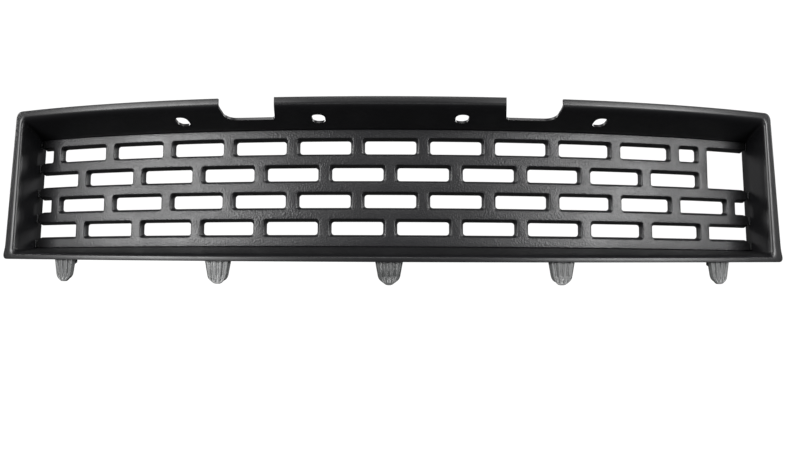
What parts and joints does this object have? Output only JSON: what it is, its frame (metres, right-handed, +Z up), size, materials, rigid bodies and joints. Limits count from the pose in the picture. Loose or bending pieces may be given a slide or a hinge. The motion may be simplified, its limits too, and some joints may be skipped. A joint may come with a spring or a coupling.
{
  "type": "front lower grille",
  "caption": "Curved lower bumper grille: deep surround, insert with staggered rounded openings and a corner sensor window, fluted locating tongues below, slots and notches in the top wall.",
  "frame": {"origin": "on the flat rear face of the middle locating tongue, under the middle of the lower lip", "axes": "+X to the side with the sensor window, along the width; +Y rearwards into the car, so the visible front looks along -Y; +Z up"},
  "size_m": [1.0758, 0.2096, 0.2391],
  "materials": {
    "satin_black": "satin moulded polypropylene, black",
    "grained_black": "moulded polypropylene with a fine leather grain, charcoal",
    "tongue_grey": "smooth moulded acetal, dark grey",
    "clip_grey": "smooth moulded nylon, grey",
    "screw_zinc": "zinc plated steel"
  },
  "bodies": {
    "root": {"surround": "satin_black", "grille_insert": "grained_black", "locating_tongue_1": "tongue_grey", "locating_tongue_2": "tongue_grey", "locating_tongue_3": "tongue_grey", "locating_tongue_4": "tongue_grey", "locating_tongue_5": "tongue_grey", "bar_clip_left_1": "clip_grey", "bar_clip_left_2": "clip_grey", "bar_clip_left_3": "clip_grey", "bar_clip_left_4": "clip_grey", "bar_clip_left_5": "clip_grey", "bar_clip_right_1": "clip_grey", "bar_clip_right_2": "clip_grey", "bar_clip_right_3": "clip_grey", "bar_clip_right_4": "clip_grey", "rear_screw_top_1": "screw_zinc", "rear_screw_top_2": "screw_zinc", "rear_screw_top_3": "screw_zinc", "rear_screw_top_4": "screw_zinc", "rear_screw_bottom_1": "screw_zinc", "rear_screw_bottom_2": "screw_zinc", "rear_screw_bottom_3": "screw_zinc", "rear_screw_bottom_4": "screw_zinc"}
  },
  "joints": []
}
